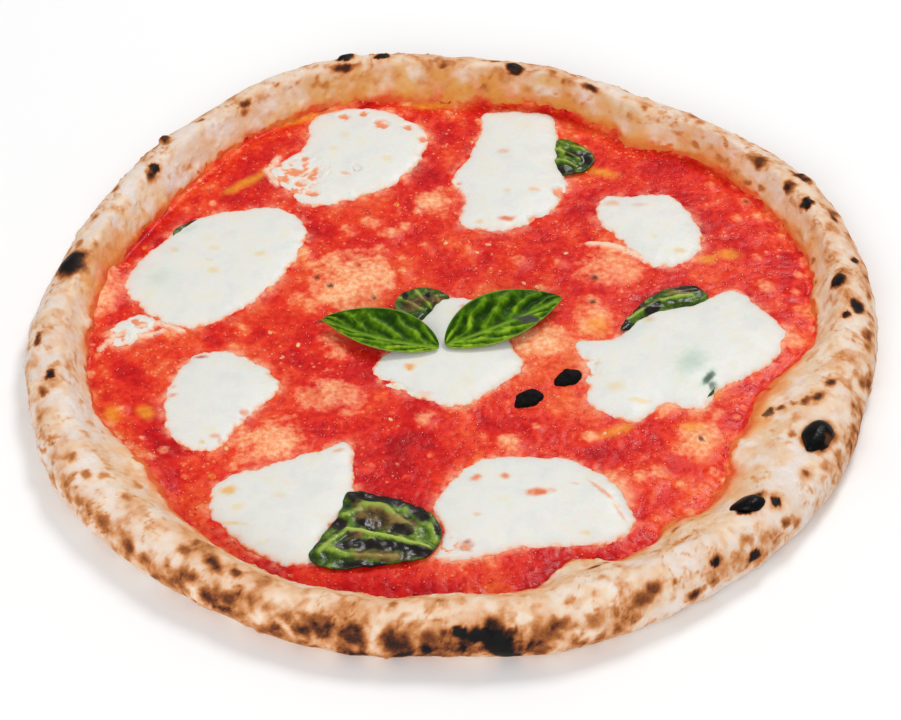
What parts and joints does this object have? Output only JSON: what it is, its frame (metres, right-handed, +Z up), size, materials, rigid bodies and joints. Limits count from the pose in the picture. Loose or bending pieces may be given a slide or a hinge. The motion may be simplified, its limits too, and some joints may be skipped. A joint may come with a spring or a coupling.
{
  "type": "margherita pizza",
  "caption": "Round pizza with a puffed, charred rim, tomato sauce, melted slices of mozzarella and basil leaves.",
  "frame": {"origin": "the middle of the flat underside on which the pizza rests", "axes": "+Z up, +Y away from the front, which is the side with the widest dark patch on the rim, and +X to the right seen from the front"},
  "size_m": [0.3212, 0.3188, 0.0216],
  "materials": {
    "crust": "matte, floured, with brown and black baked spots",
    "tomato_sauce": "wet and grainy",
    "mozzarella": "smooth and moist",
    "basil_fresh": "satin",
    "basil_baked": "oiled and wilted, with black patches"
  },
  "bodies": {
    "root": {"dough": "crust", "tomato_sauce": "tomato_sauce", "mozzarella_far_left": "mozzarella", "mozzarella_far_middle": "mozzarella", "mozzarella_far_right": "mozzarella", "mozzarella_left": "mozzarella", "mozzarella_left_scrap": "mozzarella", "mozzarella_left_small": "mozzarella", "mozzarella_near_left": "mozzarella", "mozzarella_near_right": "mozzarella", "mozzarella_right": "mozzarella", "mozzarella_middle": "mozzarella", "basil_fresh_left": "basil_fresh", "basil_fresh_right": "basil_fresh", "basil_baked_middle": "basil_baked", "basil_baked_far": "basil_baked", "basil_baked_right": "basil_baked", "basil_baked_near": "basil_baked", "basil_baked_left": "basil_baked", "basil_baked_tip": "basil_baked"}
  },
  "joints": []
}
